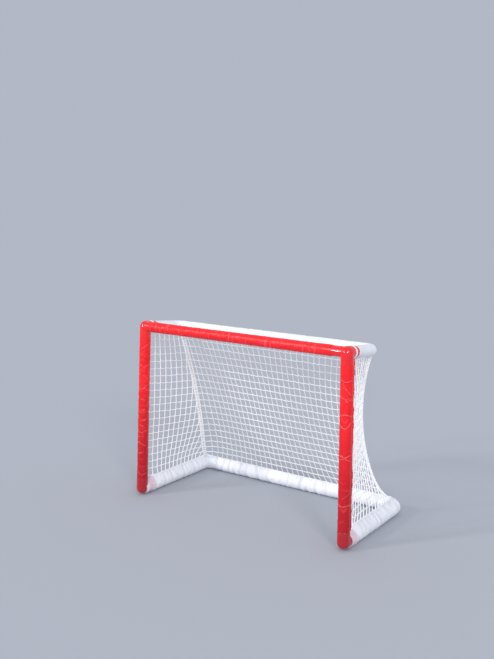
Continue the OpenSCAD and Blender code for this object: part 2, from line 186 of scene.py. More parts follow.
def back_y(t):
    """Depth of the middle of the back net."""
    return lerp(BACK_LOW[0], BACK_HIGH[0], t) - BACK_PULL * bulge(t)


def back_point(u, v):
    """A point of the back net: u from 0 at the left corner to 1 at the right, v from 0 at the base to 1."""
    edge = seam(v)
    depth = back_y(v) - (back_y(v) - edge.y) * abs(2 * u - 1) ** (6 + 18 * (1 - v) ** 3)
    return Vector((lerp(-edge.x, edge.x, u), depth, edge.z))


def side_top(y):
    """Height of the upper edge of a side net."""
    return TOP_Z - y * math.tan(TOP_SLOPE) - NET_DROP / math.cos(TOP_SLOPE)


def side_z(y, v):
    """The twines level out towards the back, where they meet those of the back net."""
    u = min(y / (SEAM_LOW[1] - FRONT_Y), 1)
    return lerp(lerp(SIDE_LOW[1], BACK_LOW[1], u), lerp(side_top(y), BACK_HIGH[1], u), v)


def side_point(y, v):
    """A point of the right-hand net: y back from the post axis, v from 0 at the base to 1 at the top."""
    z = side_z(y, v)
    edge = seam_at(z)
    u = (y - SIDE_FRONT) / (edge.y - FRONT_Y - SIDE_FRONT)
    x = lerp(lerp(BASE_X, POST_X, v) + FLANGE_TIP[0], edge.x, u)
    x += (SIDE_LOW[0] - x) * min(1, 8 * max(u, 0), 8 * max(1 - u, 0)) * (1 - v) ** 8
    return Vector((x, FRONT_Y + y, z))


def in_top_frame(x, y, z):
    """From the sloping plane of the top rails to the row's frame."""
    c, s = math.cos(TOP_SLOPE), math.sin(TOP_SLOPE)
    return Vector((x, FRONT_Y + y * c + z * s, TOP_Z - y * s + z * c))


# ---------------------------------------------------------------- camera

FOCAL_PX = 818.8
LONG_SIDE_PX = 659
SENSOR_MM = 36
CAMERA_PLACE = Vector((1.36096, FRONT_Y - 1.97755, BASE_Z + 0.92843))
CAMERA_TURN = (math.radians(33.916), math.radians(8.518), math.radians(1.25))


def camera():
    azimuth, elevation, roll = CAMERA_TURN
    back = Vector((math.sin(azimuth) * math.cos(elevation), -math.cos(azimuth) * math.cos(elevation),
                   math.sin(elevation)))
    right = (-back).cross(Vector((0, 0, 1))).normalized()
    up = right.cross(-back)
    x = right * math.cos(roll) + up * math.sin(roll)
    y = up * math.cos(roll) - right * math.sin(roll)
    data = bpy.data.cameras.new("camera")
    data.sensor_width = SENSOR_MM
    data.lens = FOCAL_PX * SENSOR_MM / LONG_SIDE_PX
    data.clip_start = 0.05
    obj = bpy.data.objects.new("camera", data)
    bpy.context.collection.objects.link(obj)
    obj.matrix_world = Matrix((
        (x.x, y.x, back.x, CAMERA_PLACE.x), (x.y, y.y, back.y, CAMERA_PLACE.y),
        (x.z, y.z, back.z, CAMERA_PLACE.z), (0, 0, 0, 1)))
    bpy.context.scene.camera = obj


camera()

# ---------------------------------------------------------------- materials


def linear(hexa):
    out = []
    for k in (1, 3, 5):
        c = int(hexa[k:k + 2], 16) / 255
        out.append(c / 12.92 if c <= 0.04045 else ((c + 0.055) / 1.055) ** 2.4)
    return (*out, 1.0)


def add(mat, kind, links=(), **settings):
    """Add a node, set its properties or inputs, and link (from_node, output, input) into it."""
    n = mat.node_tree.nodes.new(kind)
    for key, value in settings.items():
        name = key.replace("_", " ")
        if name in n.inputs:
            n.inputs[name].default_value = value
        else:
            setattr(n, key, value)
    for source, output, target in links:
        mat.node_tree.links.new(source.outputs[output], n.inputs[target])
    return n


def material(name, colour, roughness, **shader):
    mat = bpy.data.materials.new(name)
    mat.use_nodes = True
    bsdf = mat.node_tree.nodes["Principled BSDF"]
    bsdf.inputs["Base Color"].default_value = linear(colour)
    bsdf.inputs["Roughness"].default_value = roughness
    for key, value in shader.items():
        bsdf.inputs[key.replace("_", " ")].default_value = value
    mat.diffuse_color = linear(colour)
    return mat, bsdf


def link(mat, source, output, target, socket):
    mat.node_tree.links.new(source.outputs[output], target.inputs[socket])


def coords(mat, scale=(1, 1, 1)):
    tex = add(mat, "ShaderNodeTexCoord")
    return add(mat, "ShaderNodeMapping", [(tex, "Object", "Vector")], Scale=scale)


def bump_from(mat, bsdf, source, output, distance, strength=1.0, under=None):
    links = [(source, output, "Height")]
    if under:
        links.append((under, "Normal", "Normal"))
    b = add(mat, "ShaderNodeBump", links, Strength=strength, Distance=distance)
    link(mat, b, "Normal", bsdf, "Normal")
    return b


def tone(mat, bsdf, source, output, dark, light, span=(0.3, 0.7)):
    ramp = add(mat, "ShaderNodeValToRGB", [(source, output, "Fac")])
    ramp.color_ramp.elements[0].position = span[0]
    ramp.color_ramp.elements[1].position = span[1]
    ramp.color_ramp.elements[0].color = linear(dark)
    ramp.color_ramp.elements[1].color = linear(light)
    link(mat, ramp, "Color", bsdf, "Base Color")
    return ramp


def texture(mat, space, kind, size_mm, **settings):
    """A procedural texture whose pattern repeats every size_mm millimetres."""
    return add(mat, "ShaderNodeTex" + kind, [(space, "Vector", "Vector")], Scale=1 / (size_mm * MM), **settings)


WEAVE_MM = 1.2


def coated_weave(mat, bsdf, crumple_mm, crumple_depth):
    """Coated woven polyester: a fine plain weave under the film, and a crumple that the film keeps."""
    space = coords(mat)
    crumple = texture(mat, space, "Noise", crumple_mm, Detail=4.0, Roughness=0.62, Distortion=0.6)
    film = bump_from(mat, bsdf, crumple, "Fac", crumple_depth * MM, 0.55)
    weave = texture(mat, space, "Checker", WEAVE_MM)
    bump_from(mat, bsdf, weave, "Fac", 0.05 * MM, 0.25, film)
    return space


# Sockets of a node that mixes colours: its factor, its two colours and its result
MIX_FACTOR, MIX_FIRST, MIX_SECOND, MIX_RESULT = 0, 6, 7, 2
# Painted shade: between these heights above the floor the reds turn deeper, as if less light reached them there
SHADE_DEEPEST_Z = 0.02
SHADE_ENDS_Z = 0.46


def mixed(mat, factor, first, second):
    """Mix two colours by the result of a map range. Each colour is a hex colour or a socket."""
    mix = add(mat, "ShaderNodeMix", [(factor, "Result", MIX_FACTOR)], data_type="RGBA")
    for socket, colour in ((MIX_FIRST, first), (MIX_SECOND, second)):
        if isinstance(colour, str):
            mix.inputs[socket].default_value = linear(colour)
        else:
            mat.node_tree.links.new(colour, mix.inputs[socket])
    return mix.outputs[MIX_RESULT]


def paint_shade_below(mat, bsdf, space, cloth, shade_colour):
    """Painted shade: turn the colour to a deeper one towards the floor."""
    split = add(mat, "ShaderNodeSeparateXYZ", [(space, "Vector", "Vector")])
    rise = add(mat, "ShaderNodeMapRange", [(split, "Z", "Value")], interpolation_type="SMOOTHSTEP",
               From_Min=SHADE_DEEPEST_Z, From_Max=SHADE_ENDS_Z)
    cloth = mixed(mat, rise, shade_colour, cloth)
    mat.node_tree.links.new(cloth, bsdf.inputs["Base Color"])
    return cloth


def paint_crease_light_and_shade(mat, bsdf, cloth, ridge_highlight, hollow_shade, amount):
    """Painted light: a painted highlight along the ridges of the creases and painted shade in the hollows
    beside them.
    """
    crease = add(mat, "ShaderNodeAttribute", attribute_name="crease")
    for none_at, full_at, colour in ((0.1, 1.0, ridge_highlight), (-0.05, -0.5, hollow_shade)):
        how_far = add(mat, "ShaderNodeMapRange", [(crease, "Fac", "Value")],
                      From_Min=none_at, From_Max=full_at, To_Min=0.0, To_Max=amount)
        cloth = mixed(mat, how_far, cloth, colour)
    mat.node_tree.links.new(cloth, bsdf.inputs["Base Color"])


def red_sleeve_material():
    # Coated woven polyester: a bright red film on a fine weave, satin, glossy on its creases, with a painted
    # highlight along their ridges and painted shade in the hollows beside them
    mat, bsdf = material("red_coated_polyester", "#E31C28", 0.4, Specular_IOR_Level=0.25, Coat_Weight=0.16,
                         Coat_Roughness=0.14)
    space = coated_weave(mat, bsdf, 14, 1.1)
    patch = texture(mat, space, "Noise", 60, Detail=3.0)
    cloth = tone(mat, bsdf, patch, "Fac", "#F0161F", "#FF262C")
    # Painted shade: the cloth turns a deeper red towards the floor
    cloth = paint_shade_below(mat, bsdf, space, cloth.outputs["Color"], "#B01222")
    # Painted highlight on the crease ridges and painted shade in their hollows
    paint_crease_light_and_shade(mat, bsdf, cloth, "#FF8C8C", "#CE0C1A", 0.68)
    return mat


def red_cover_material():
    # Dipped soft vinyl: red, smooth and glossy, with a faint orange-peel skin, and painted shade that deepens
    # it towards the floor
    mat, bsdf = material("red_dipped_vinyl", "#DB1A26", 0.24, Specular_IOR_Level=0.3, Coat_Weight=1.0,
                         Coat_Roughness=0.04)
    space = coords(mat)
    peel = texture(mat, space, "Noise", 9, Detail=2.0)
    bump_from(mat, bsdf, peel, "Fac", 0.35 * MM, 0.5)
    patch = texture(mat, space, "Noise", 35, Detail=2.0)
    skin = tone(mat, bsdf, patch, "Fac", "#EC101A", "#FA1A22")
    # Painted shade: the vinyl turns a deeper red towards the floor
    paint_shade_below(mat, bsdf, space, skin.outputs["Color"], "#AC0A1C")
    return mat


def white_sleeve_material():
    # Coated woven polyester in white: thin enough for the red foot socket to show through as pink
    mat, bsdf = material("white_coated_polyester", "#F1F3F9", 0.42, Coat_Weight=0.15, Coat_Roughness=0.3,
                         Sheen_Weight=0.1)
    space = coated_weave(mat, bsdf, 18, 0.8)
    patch = texture(mat, space, "Noise", 70, Detail=3.0)
    cloth = tone(mat, bsdf, patch, "Fac", "#E7EAF2", "#F4F6FA")
    # Distance from the middle of the foot, in socket lengths. |x| is taken, so that both feet are served.
    split = add(mat, "ShaderNodeSeparateXYZ", [(space, "Vector", "Vector")])
    fold = add(mat, "ShaderNodeMath", [(split, "X", 0)], operation="ABSOLUTE")
    folded = add(mat, "ShaderNodeCombineXYZ", [(fold, "Value", "X"), (split, "Y", "Y"), (split, "Z", "Z")])
    size_x, size_y, size_z = 60 * MM, 56 * MM, 48 * MM
    offset = add(mat, "ShaderNodeMapping", [(folded, "Vector", "Vector")],
                 Location=(-BASE_X / size_x, -FRONT_Y / size_y, -BASE_Z / size_z),
                 Scale=(1 / size_x, 1 / size_y, 1 / size_z))
    reach = add(mat, "ShaderNodeVectorMath", [(offset, "Vector", "Vector")], operation="LENGTH")
    edge = add(mat, "ShaderNodeMapRange", [(reach, "Value", "Value")], interpolation_type="SMOOTHSTEP",
               From_Min=1.05, From_Max=0.86, To_Min=0.0, To_Max=0.5)
    cloth = mixed(mat, edge, cloth.outputs["Color"], "#D98C98")
    # Painted highlight on the rib ridges and painted lavender-grey shade in their hollows
    paint_crease_light_and_shade(mat, bsdf, cloth, "#FAFBFD", "#CDD1DF", 0.45)
    return mat


def twine_material(name, light, dark, braid_mm):
    # Braided nylon: white, matt, with the small humps of the braid
    mat, bsdf = material(name, light, 0.55, Sheen_Weight=0.2)
    space = coords(mat)
    braid = texture(mat, space, "Voronoi", braid_mm)
    bump_from(mat, bsdf, braid, "Distance", 0.3 * MM, 0.6)
    tone(mat, bsdf, braid, "Distance", light, dark, (0.25, 0.9))
    return mat


def thread_material(name, colour):
    # Bonded sewing thread: twisted, slightly shiny
    mat, bsdf = material(name, colour, 0.45)
    twist = texture(mat, coords(mat), "Noise", 0.8)
    bump_from(mat, bsdf, twist, "Fac", 0.1 * MM, 0.5)
    return mat


def steel_material():
    # Galvanised steel tube: grey zinc with a soft spangle and drawn lines
    mat, bsdf = material("galvanised_steel", "#B4B8BC", 0.38, Metallic=1.0)
    space = coords(mat)
    spangle = texture(mat, space, "Voronoi", 7)
    tone(mat, bsdf, spangle, "Distance", "#A9ADB1", "#C3C7CB")
    bump_from(mat, bsdf, spangle, "Distance", 0.05 * MM, 0.4)
    return mat


def spring_material():
    # Blued spring steel strip, rolled
    mat, bsdf = material("rolled_spring_steel", "#8C8F96", 0.3, Metallic=1.0)
    grain = texture(mat, coords(mat, (1, 8, 1)), "Noise", 2)
    tone(mat, bsdf, grain, "Fac", "#7C8088", "#9A9DA3")
    return mat


def socket_material():
    # Injection-moulded polypropylene in red: satin with a fine spark texture
    mat, bsdf = material("moulded_polypropylene", "#B5121F", 0.4)
    spark = texture(mat, coords(mat), "Noise", 0.9, Detail=2.0)
    bump_from(mat, bsdf, spark, "Fac", 0.08 * MM, 0.5)
    tone(mat, bsdf, spark, "Fac", "#A90F1B", "#BE1824")
    return mat


def foam_material():
    # Closed-cell polyethylene foam: dark grey with open skin cells
    mat, bsdf = material("closed_cell_foam", "#55585E", 0.85)
    cells = texture(mat, coords(mat), "Voronoi", 1.6)
    bump_from(mat, bsdf, cells, "Distance", 0.4 * MM, 0.8)
    tone(mat, bsdf, cells, "Distance", "#4A4D53", "#666A70")
    return mat


RED = red_sleeve_material()
VINYL = red_cover_material()
WHITE = white_sleeve_material()
TWINE = twine_material("braided_nylon_twine", "#FFFFFF", "#F0F1F3", 1.6)
CORD = twine_material("braided_lacing_cord", "#FFFFFF", "#F3F4F5", 2.2)
RED_THREAD = thread_material("bonded_thread_red", "#DC1A24")
WHITE_THREAD = thread_material("bonded_thread_white", "#DDE0E6")
STEEL = steel_material()
SPRING = spring_material()
SOCKET = socket_material()
FOAM = foam_material()

# ---------------------------------------------------------------- mesh helpers


WELD_GAP = 0.00005


def alone(obj):
    """Select this object only and make it the active one."""
    bpy.ops.object.select_all(action="DESELECT")
    obj.select_set(True)
    bpy.context.view_layer.objects.active = obj


def place(name, mat, slot, *nodes):
    """Finish the active object: bake its place into its mesh, name it and hang it on the frame."""
    obj = bpy.context.object
    bpy.ops.object.transform_apply(location=True, rotation=True, scale=True)
    obj.name = name
    obj.data.materials.clear()
    obj.data.materials.append(mat)
    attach(obj, ROOT)
    if nodes:
        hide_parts(*nodes)
    return obj


def apply(obj, kind, **settings):
    """Apply one modifier. The object is left as the active one."""
    alone(obj)
    mod = obj.modifiers.new(kind, kind)
    for key, value in settings.items():
        setattr(mod, key, value)
    bpy.ops.object.modifier_apply(modifier=mod.name)


def merge(obj):
    """Weld the seam of a rolled-up grid and turn its faces outwards."""
    alone(obj)
    bpy.ops.object.mode_set(mode="EDIT")
    bpy.ops.mesh.select_all(action="SELECT")
    bpy.ops.mesh.remove_doubles(threshold=WELD_GAP)
    bpy.ops.mesh.normals_make_consistent(inside=False)
    bpy.ops.object.mode_set(mode="OBJECT")


def smooth_shade(obj, angle):
    alone(obj)
    bpy.ops.object.shade_smooth_by_angle(angle=math.radians(angle))


def join(objects):
    bpy.ops.object.select_all(action="DESELECT")
    for obj in objects:
        obj.select_set(True)
    bpy.context.view_layer.objects.active = objects[0]
    bpy.ops.object.join()
    return bpy.context.object


def mirrored(points):
    return [Vector((-p.x, p.y, p.z)) for p in points]


def strand_piece(name, strands, radius, sides, mat, slot, *nodes):
    """Round strands as one piece. A strand is a list of points, or of (point, thickness factor)."""
    data = bpy.data.curves.new(name, "CURVE")
    data.dimensions = "3D"
    data.bevel_depth = radius
    data.bevel_resolution = sides
    data.use_fill_caps = True
    for strand in strands:
        spline = data.splines.new("POLY")
        spline.points.add(len(strand) - 1)
        for spot, item in zip(spline.points, strand):
            point, factor = item if isinstance(item, tuple) else (item, 1.0)
            spot.co = (*point, 1)
            spot.radius = factor
    obj = bpy.data.objects.new(name, data)
    bpy.context.collection.objects.link(obj)
    alone(obj)
    bpy.ops.object.convert(target="MESH")
    smooth_shade(bpy.context.object, 60)
    place(name, mat, slot, *nodes)


# ---------------------------------------------------------------- sleeves


class Run:
    """The axis of a padded rail: straights and bends in one plane, walked by length."""

    def __init__(self, start, heading, up, steps):
        self.up = up.normalized()
        self.parts = []
        self.length = 0.0
        p, d = start.copy(), heading.normalized()
        for length, angle in steps:
            self.parts.append((self.length, length, p.copy(), d.copy(), angle))
            if angle:
                radius = length / abs(angle)
                side = self.up.cross(d) * (1 if angle > 0 else -1)
                hub = p + side * radius
                turn = Matrix.Rotation(angle, 3, self.up)
                p = hub + turn @ (p - hub)
                d = turn @ d
            else:
                p = p + d * length
            self.length += length

    def at(self, s):
        """Axis point, direction out to the side and direction up, at s along the run."""
        for start, length, p, d, angle in self.parts:
            if s <= start + length + 1e-9:
                break
        t = s - start
        if angle:
            radius = length / abs(angle)
            side = self.up.cross(d) * (1 if angle > 0 else -1)
            turn = Matrix.Rotation(angle * t / length, 3, self.up)
            hub = p + side * radius
            return hub + turn @ (p - hub), turn @ d.cross(self.up), self.up
        return p + d * t, d.cross(self.up), self.up

    def skin(self, s, angle, radius):
        """The point at this radius and angle round the axis, s along the run."""
        point, side, up = self.at(s)
        return point + side * (radius * math.cos(angle)) + up * (radius * math.sin(angle))

    def between(self, s, cut, near=60 * MM):
        """Draw the first and last stretch together, so that the cloth starts and ends at cut."""
        if s < near:
            return cut + s * (near - cut) / near
        if s > self.length - near:
            return self.length - self.between(self.length - s, cut, near)
        return s


class Fold:
    """One crease of loose cloth: a ridge across the sleeve with a hollow beside it."""

    def __init__(self, s, angle, spread, bow, chevron, height, width):
        self.s, self.angle, self.spread = s, angle, spread
        self.bow, self.chevron = bow, chevron
        self.height, self.width = height, width

    def lift(self, s, angle):
        turn = wrapped(angle - self.angle)
        if abs(turn) > self.spread:
            return 0.0
        d = (s - self.s - self.bow * turn * turn - self.chevron * abs(turn)) / self.width
        if abs(d) > 5:
            return 0.0
        fade = math.cos(turn / self.spread * math.pi / 2) ** 0.5
        return self.height * fade * (math.exp(-d * d) - 0.6 * math.exp(-((d - 2.1) / 1.3) ** 2))


class Crease:
    """A sharp crease along a line: (distance along the run, angle round it) at each turn of it."""

    def __init__(self, line, girth, height, width):
        self.line = line
        self.girth, self.height, self.width = girth, height, width
        self.first = min(s for s, _ in line) - 5 * width
        self.last = max(s for s, _ in line) + 5 * width

    def lift(self, s, angle):
        if not self.first < s < self.last:
            return 0.0
        nearest = 5 * self.width
        for (s0, a0), (s1, a1) in zip(self.line, self.line[1:]):
            ds, da = s1 - s0, (a1 - a0) * self.girth
            px, py = s - s0, wrapped(angle - a0) * self.girth
            t = min(max((px * ds + py * da) / (ds * ds + da * da), 0), 1)
            nearest = min(nearest, math.hypot(px - ds * t, py - da * t))
        d = nearest / self.width
        return self.height * (math.exp(-d * d) - 0.35 * math.exp(-((d - 2.2) / 1.2) ** 2))


def folds_along(length, seed, spacing, height, width, bow, chevron):
    dice = random.Random(seed)
    folds = []
    s = spacing * 0.4
    while s < length:
        folds.append(Fold(
            s, dice.uniform(-math.pi, math.pi), dice.uniform(0.8, 1.9),
            dice.uniform(-bow, bow), dice.uniform(-chevron, chevron),
            height * dice.uniform(0.5, 1.15), width * dice.uniform(0.75, 1.4)))
        s += spacing * dice.uniform(0.25, 0.75)
    return folds


def crumple(where):
    """Slack cloth that has been rolled: flat facets that meet in crooked ridges, about -1 to 1."""
    ridges = 0.55 - abs(noise.noise(where)) * 2.2
    return ridges + 0.5 * (0.5 - abs(noise.noise(where * 2.1 + Vector((7.1, 3.3, 1.7)))) * 2.0)


def folds_lift(folds, s, angle):
    return sum(fold.lift(s, angle) for fold in folds)


def sleeve(name, run, form, folds, mat, slot, nodes, hold, step, around=64, soft=0.5 * MM, cut=None,
           full=1 * MM, facets=0.4 * MM, facet_size=16 * MM, facet_light_share=0.0):
    """Cloth cut flat, rolled round the pad and sewn. Form gives its radius and hold that of the foam in it.

    The folds lift the cloth, soft is how far it sways, and facets is how high its crumpled facets are. The
    crease attribute says where a painted highlight goes on a ridge and painted shade in a hollow: full is the
    lift that counts as 1, and the last argument is the share of the facets in it.
    """
    grain = 26 * MM
    ends = 6 * MM
    rings = max(int(run.length / step), 8)
    bpy.ops.mesh.primitive_grid_add(x_subdivisions=around, y_subdivisions=rings, size=1)
    obj = bpy.context.object
    shift = sum(ord(c) for c in name)
    crease = obj.data.attributes.new("crease", "FLOAT", "POINT")
    for vertex in obj.data.vertices:
        angle = (vertex.co.x + 0.5) * 2 * math.pi
        s = (vertex.co.y + 0.5) * run.length
        if cut:
            s = run.between(s, cut(angle))
        near_end = smooth(min(s, run.length - s) / ends) if not cut else 1
        ride_up = folds_lift(folds, s, angle)
        radius = form(s, angle)
        spot = Vector((math.cos(angle) * radius, math.sin(angle) * radius, s + shift))
        facet = facets * crumple(spot / facet_size)
        # This lift sets the painted highlight on ridges and the painted shade in hollows
        painted_light_lift = ride_up + facet_light_share * facet
        ride_up += soft * noise.noise(spot / grain) + facet
        crease.data[vertex.index].value = min(max(painted_light_lift / full, -1), 1) * near_end
        r = max(radius + ride_up * near_end, hold(s) + SLEEVE_T)
        spot = run.skin(s, angle, r)
        spot.z = max(spot.z, 0.3 * MM)
        vertex.co = spot
    merge(obj)
    apply(obj, "SOLIDIFY", thickness=SLEEVE_T * 0.9, offset=-1, use_even_offset=False)
    place(name, mat, slot, *nodes)
    smooth_shade(obj, 70)


def foam(name, run, start, end, outer, inner, node):
    """A foam roll between two places on a run: outer and inner give its radii along the run."""
    count = max(round((end - start) / (5 * MM)), 4)
    along = [lerp(start, end, k / count) for k in range(count + 1)]
    profile = [(s, outer(s)) for s in along] + [(s, inner(s)) for s in reversed(along)]
    around = 28
    bpy.ops.mesh.primitive_grid_add(x_subdivisions=around, y_subdivisions=len(profile), size=1)
    obj = bpy.context.object
    for vertex in obj.data.vertices:
        angle = (vertex.co.x + 0.5) * 2 * math.pi
        s, r = profile[round((vertex.co.y + 0.5) * len(profile)) % len(profile)]
        vertex.co = run.skin(s, angle, r)
    merge(obj)
    place(name, FOAM, "foam", node)
    smooth_shade(obj, 50)


def flange(name, points, out, thick, reach, mat, slot, seed, wave=0.7 * MM, ragged=0.08,
           depth=FLANGE_T * 0.75):
    """A seam allowance: a narrow doubled strip of sleeve cloth, rooted a little way inside the rail."""
    root = 1.5 * MM
    across = 5
    bpy.ops.mesh.primitive_grid_add(x_subdivisions=across, y_subdivisions=len(points) - 1, size=1)
    obj = bpy.context.object
    dice = random.Random(seed)
    phase = dice.uniform(0, 6)
    for vertex in obj.data.vertices:
        k = round((vertex.co.y + 0.5) * (len(points) - 1))
        t = vertex.co.x + 0.5
        flow = noise.noise(Vector((k * 0.13, phase, 0)))
        ripple = noise.noise(Vector((k * 0.3, phase, 9)))
        edge = reach * t * (1 + ragged * ripple * t)
        vertex.co = points[k] + out * (edge - root) + thick * (wave * flow * t)
    apply(obj, "SOLIDIFY", thickness=depth, offset=0)
    apply(obj, "BEVEL", width=depth * 0.25, segments=2, limit_method="ANGLE")
    place(name, mat, slot)
    smooth_shade(obj, 50)


def stitches(name, rows, mat, slot):
    """Rows of sewing stitches. A row is its points, each with the direction that lifts it off the cloth."""
    length, gap, radius = 3.2 * MM, 1.6 * MM, 0.45 * MM
    strands = []
    for row in rows:
        travelled, wanted = 0.0, 0.0
        for (a, lift), (b, _) in zip(row, row[1:]):
            seg = (b - a).length
            while wanted < travelled + seg:
                p = a.lerp(b, (wanted - travelled) / seg)
                q = p + (b - a).normalized() * length
                strands.append([p + lift * 0.3, p.lerp(q, 0.5) + lift, q + lift * 0.3])
                wanted += length + gap
            travelled += seg
    strand_piece(name, strands, radius, 0, mat, slot)


UP = Vector((0, 0, 1))
RIGHT = Vector((1, 0, 0))
BACK = Vector((0, 1, 0))
QUARTER = math.pi / 2
TOP_UP = (in_top_frame(0, 0, 1) - in_top_frame(0, 0, 0)).normalized()
TOP_BACK = (in_top_frame(0, 1, 0) - in_top_frame(0, 0, 0)).normalized()


def post_up(side):
    return Vector((-side * math.sin(POST_LEAN), 0, math.cos(POST_LEAN)))


def foot_spot(side):
    return Vector((side * BASE_X, FRONT_Y, BASE_Z))


def rail_foams(word, run, first, split, outer, bore):
    """The three foam rolls of a U-shaped rail. They start at first and meet at split from either end."""
    for name, start, end in (("right", first, split), ("rear", split, run.length - split),
                             ("left", run.length - split, run.length - first)):
        foam(f"{word}_{name}_foam", run, start + 0.3 * MM, end - 0.3 * MM, lambda s: outer, bore,
             f"{word}_{name}_pad")


def crossbar():
    run = Run(Vector((BAR_LEFT, FRONT_Y, TOP_Z)), RIGHT, UP, [(BAR_RIGHT - BAR_LEFT, 0)])
    socket_left = -(POST_X - BAR_SOCKET) - BAR_LEFT
    socket_right = POST_X - BAR_SOCKET - BAR_LEFT

    def over_socket(s):
        return s < socket_left + 1 * MM or s > socket_right - 1 * MM

    def outer(s):
        return BAR_R - (1.1 if over_socket(s) else 2.2) * MM

    folds = folds_along(run.length, 11, 24 * MM, 0.5 * MM, 2.2 * MM, 5 * MM, 7 * MM)
    # The cloth is gathered towards its left end
    folds += folds_along(110 * MM, 13, 13 * MM, 0.8 * MM, 1.8 * MM, 3 * MM, 8 * MM)
    foam("crossbar_foam", run, 0.5 * MM, run.length - 0.5 * MM, outer,
         lambda s: (BAR_SOCKET_R if over_socket(s) else TUBE_R) + 0.1 * MM, "crossbar_pad")
    sleeve("crossbar_cloth", run, lambda s, angle: BAR_R - 0.3 * MM, folds, RED, "red_sleeve",
           ["crossbar_sleeve"], outer, 2.0 * MM, around=72, soft=0.3 * MM, full=1.3 * MM,
           facets=0.6 * MM, facet_size=12 * MM, facet_light_share=0.5)
    points = [Vector((lerp(BAR_LEFT, BAR_RIGHT, k / 200), FRONT_Y, TOP_Z)) + TOP_BACK * BAR_R
              for k in range(201)]
    flange("crossbar_seam", points, TOP_BACK, TOP_UP, 4.5 * MM, RED, "red_sleeve", 12, depth=1.6 * MM)


# The way the creases of each post face, in degrees round it
POST_FACES = {1: -117, -1: -131}
# How each post's cloth is crumpled: full, facets and facet_size of its sleeve
POST_CLOTH = {1: (1.5 * MM, 0.4 * MM, 24 * MM), -1: (2.1 * MM, 0.9 * MM, 17 * MM)}
# The sharp creases of each post. A turn of one is (mm below the top bar, place across its face from -1 to 1).
POST_CREASES = {
    1: [
        [(74, -0.9), (80, -0.4), (80, 0.2), (76, 0.7)], [(86, -0.6), (100, 0.0), (118, 0.7)],
        [(97, -0.9), (97, -0.4), (103, 0.05)], [(117, -0.95), (125, -0.55), (129, -0.1), (122, 0.75)],
        [(129, -0.1), (137, 0.2)], [(176, -0.9), (171, -0.2), (173, 0.4), (178, 0.95)],
        [(200, -0.9), (208, -0.6), (211, 0.0), (203, 0.5), (194, 0.7)],
        [(284, -0.98), (289, -0.6), (293, 0.0), (285, 0.75)],
        [(301, -0.95), (296, -0.4), (298, 0.2), (303, 0.8)], [(293, 0.0), (297, 0.2)],
        [(394, 0.85), (402, 0.3), (411, -0.4)], [(426, -0.95), (433, -0.6), (433, -0.1), (428, 0.8)]],
    -1: [
        [(72, -0.7), (64, 0.0), (54, 0.6)], [(86, -0.8), (92, -0.4), (86, 0.3)],
        [(146, -0.98), (134, -0.2), (118, 0.8)], [(124, -0.8), (136, 0.1)], [(158, -0.2), (169, 0.6)],
        [(206, -0.9), (202, -0.1), (191, 0.4)], [(237, -0.5), (240, 0.1), (233, 0.8)],
        [(278, -0.9), (283, 0.1), (276, 0.7)], [(298, -0.95), (309, -0.2), (302, 0.7)],
        [(322, -0.7), (332, 0.3)], [(344, -0.95), (350, -0.3), (341, 0.6)], [(364, -0.9), (362, 0.2)],
        [(380, -0.9), (394, 0.5)], [(424, -0.8), (413, 0.1)], [(467, 0.0), (456, 0.9)],
        [(483, -0.85), (494, -0.2), (485, 0.75)]]}


def post_creases(side, above):
    """Sharp creases over the face of the post, for a run that starts this far above the foot."""
    front = math.radians(POST_FACES[side])
    dice = random.Random(25 + side)
    return [Crease([((POST_LENGTH - drop * MM) - above, front - math.asin(across))
                    for drop, across in line], POST_R, dice.uniform(0.7, 1.3) * MM, dice.uniform(1.1, 1.7) * MM)
            for line in POST_CREASES[side]]


def post(side):
    word = word_for(side)
    up = post_up(side)
    foot_at = foot_spot(side)
    run = Run(foot_at + up * BOOT_UP_LEG, up, BACK, [(POST_LENGTH - BOOT_UP_LEG - COVER_POST_LEG, 0)])

    def over_socket(s):
        return (s < FOOT_SOCKET - BOOT_UP_LEG + 1 * MM
                or s > POST_LENGTH - BOOT_UP_LEG - POST_SOCKET - 1 * MM)

    def outer(s):
        return POST_R - (1.1 if over_socket(s) else 2.6) * MM

    foam(f"{word}_post_foam", run, 0.5 * MM, run.length - 0.5 * MM, outer,
         lambda s: (SOCKET_R if over_socket(s) else TUBE_R) + 0.1 * MM, f"{word}_post_pad")
    folds = folds_along(run.length, 21 + side, 34 * MM, 0.5 * MM, 2.4 * MM, 10 * MM, 17 * MM)
    folds += post_creases(side, BOOT_UP_LEG)
    full, facets, facet_size = POST_CLOTH[side]
    sleeve(f"{word}_post_cloth", run, lambda s, angle: POST_R - 0.4 * MM, folds, RED, "red_sleeve",
           [f"{word}_post_sleeve"], outer, 1.7 * MM, around=88, soft=0.4 * MM, full=full, facets=facets,
           facet_size=facet_size, facet_light_share=0.35)
    out = (BACK * math.cos(FLANGE_TURN) + RIGHT * (side * math.sin(FLANGE_TURN))).normalized()
    across = out.cross(up).normalized()
    points = [foot_at + up * lerp(BOOT_UP_LEG + 3 * MM, POST_LENGTH - 21 * MM, k / 160)
              + out * POST_R for k in range(161)]
    flange(f"{word}_post_seam", points, out, across, POST_FLANGE + 1.5 * MM, RED, "red_sleeve", 31 + side,
           wave=1.6 * MM, ragged=0.22)
    rows = [[(p + out * (3.5 * MM), across * (face * FLANGE_T * 0.45)) for p in points] for face in (1, -1)]
    stitches(f"{word}_post_stitches", rows, RED_THREAD, "red_sleeve")


def rail_corners(half, leg):
    """A U-shaped run: leg, bend, rear bar, bend, leg."""
    bend = BEND_R * QUARTER
    return [(leg, 0), (bend, QUARTER), (2 * (half - BEND_R), 0), (bend, QUARTER), (leg, 0)]


def drawn_in(radius, reach, turn):
    """Radius of a sleeve drawn straight from its round part to a piped edge, at an angle from that edge."""
    root = math.acos(radius / (radius + reach))
    return radius / math.cos(root - abs(turn)) if abs(turn) < root else radius


